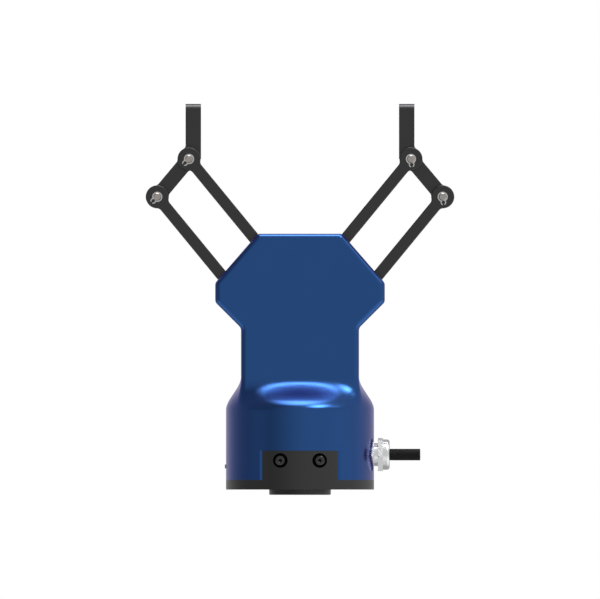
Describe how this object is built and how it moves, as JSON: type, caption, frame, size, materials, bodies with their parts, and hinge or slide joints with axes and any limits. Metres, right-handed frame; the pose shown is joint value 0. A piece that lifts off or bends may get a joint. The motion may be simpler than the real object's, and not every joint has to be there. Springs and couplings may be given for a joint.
{
  "type": "collaborative robot gripper",
  "caption": "Parallel gripper for a small robot's wrist: straight fingers on parallelogram arms, a worm drive in a waisted blue housing, a mounting flange and a cable gland.",
  "frame": {"origin": "centre of the flange's mounting face, which is the plane that meets the robot's wrist", "axes": "+Z from the robot towards the fingertips, -Y the front, +X the side of the cable; the fingers open and close along X"},
  "size_m": [0.1574, 0.0754, 0.1994],
  "materials": {
    "blue_anodised_aluminium": "satin, bead-blasted and anodised",
    "black_anodised_aluminium": "satin, anodised",
    "stainless_steel": "bright",
    "black_oxide_steel": "black oxide, cold headed",
    "hardened_steel": "ground",
    "nickel_plated_brass": "nickel plated, semi-bright",
    "bearing_bronze": "machined",
    "motor_can": "zinc plated, satin",
    "circuit_board": "solder mask",
    "black_plastic": "moulded",
    "black_rubber": "moulded",
    "cable_sheath": "extruded",
    "green_light_pipe": "clear, tinted green"
  },
  "bodies": {
    "housing": {"housing": "blue_anodised_aluminium", "rear_cover": "blue_anodised_aluminium", "rear_cover_screws": "stainless_steel", "mounting_flange": "black_anodised_aluminium", "flange_screws": "black_oxide_steel", "control_board": "circuit_board", "control_board_screws": "stainless_steel", "status_light_pipe": "green_light_pipe", "cable_gland_body": "nickel_plated_brass", "cable_gland_o_ring": "black_rubber", "cable_gland_nut": "nickel_plated_brass", "cable_gland_seal": "black_rubber", "cable_gland_locknut": "nickel_plated_brass", "cable": "cable_sheath", "motor": "motor_can", "motor_encoder": "black_plastic", "gearbox": "motor_can", "gearbox_screws": "stainless_steel", "lower_worm_bush": "bearing_bronze", "upper_worm_bush": "bearing_bronze", "left_inner_pivot_pin": "hardened_steel", "left_outer_pivot_pin": "hardened_steel", "right_inner_pivot_pin": "hardened_steel", "right_outer_pivot_pin": "hardened_steel"},
    "worm": {"worm": "hardened_steel", "worm_shaft": "hardened_steel", "worm_pin": "hardened_steel"},
    "left_inner_arm": {"left_inner_arm": "black_anodised_aluminium", "left_inner_arm_bushes": "bearing_bronze", "left_sector_wheel": "bearing_bronze", "left_sector_dowel": "hardened_steel"},
    "left_outer_arm": {"left_outer_arm": "black_anodised_aluminium", "left_outer_arm_bushes": "bearing_bronze"},
    "left_finger": {"left_finger": "black_anodised_aluminium", "left_upper_pin": "stainless_steel", "left_lower_pin": "stainless_steel", "left_retaining_rings": "stainless_steel"},
    "right_inner_arm": {"right_inner_arm": "black_anodised_aluminium", "right_inner_arm_bushes": "bearing_bronze", "right_sector_wheel": "bearing_bronze", "right_sector_dowel": "hardened_steel"},
    "right_outer_arm": {"right_outer_arm": "black_anodised_aluminium", "right_outer_arm_bushes": "bearing_bronze"},
    "right_finger": {"right_finger": "black_anodised_aluminium", "right_upper_pin": "stainless_steel", "right_lower_pin": "stainless_steel", "right_retaining_rings": "stainless_steel"}
  },
  "joints": [
    {"name": "left_inner_arm_pivot", "type": "hinge", "parent": "housing", "child": "left_inner_arm", "pos_m": [-0.01625, 0, 0.11951], "axis": [0, 1, 0], "range_deg": [0, 48.4]},
    {"name": "left_outer_arm_pivot", "type": "hinge", "parent": "housing", "child": "left_outer_arm", "pos_m": [-0.03245, 0, 0.10021], "axis": [0, 1, 0], "range_deg": [0, 48.4]},
    {"name": "left_finger_pivot", "type": "hinge", "parent": "left_inner_arm", "child": "left_finger", "pos_m": [-0.05659, 0, 0.16861], "axis": [0, -1, 0], "range_deg": [0, 48.4]},
    {"name": "right_inner_arm_pivot", "type": "hinge", "parent": "housing", "child": "right_inner_arm", "pos_m": [0.01625, 0, 0.11951], "axis": [0, -1, 0], "range_deg": [0, 48.4]},
    {"name": "right_outer_arm_pivot", "type": "hinge", "parent": "housing", "child": "right_outer_arm", "pos_m": [0.03245, 0, 0.10021], "axis": [0, -1, 0], "range_deg": [0, 48.4]},
    {"name": "right_finger_pivot", "type": "hinge", "parent": "right_inner_arm", "child": "right_finger", "pos_m": [0.05659, 0, 0.16861], "axis": [0, 1, 0], "range_deg": [0, 48.4]},
    {"name": "worm_spin", "type": "hinge", "parent": "housing", "child": "worm", "pos_m": [0, 0, 0.112], "axis": [0, 0, 1], "range_deg": [0, 968]}
  ],
  "couplings": [
    {"joint": "left_outer_arm_pivot", "follows": "left_inner_arm_pivot", "ratio": 1},
    {"joint": "left_finger_pivot", "follows": "left_inner_arm_pivot", "ratio": 1},
    {"joint": "right_inner_arm_pivot", "follows": "left_inner_arm_pivot", "ratio": 1},
    {"joint": "right_outer_arm_pivot", "follows": "left_inner_arm_pivot", "ratio": 1},
    {"joint": "right_finger_pivot", "follows": "left_inner_arm_pivot", "ratio": 1},
    {"joint": "worm_spin", "follows": "left_inner_arm_pivot", "ratio": 20}
  ]
}
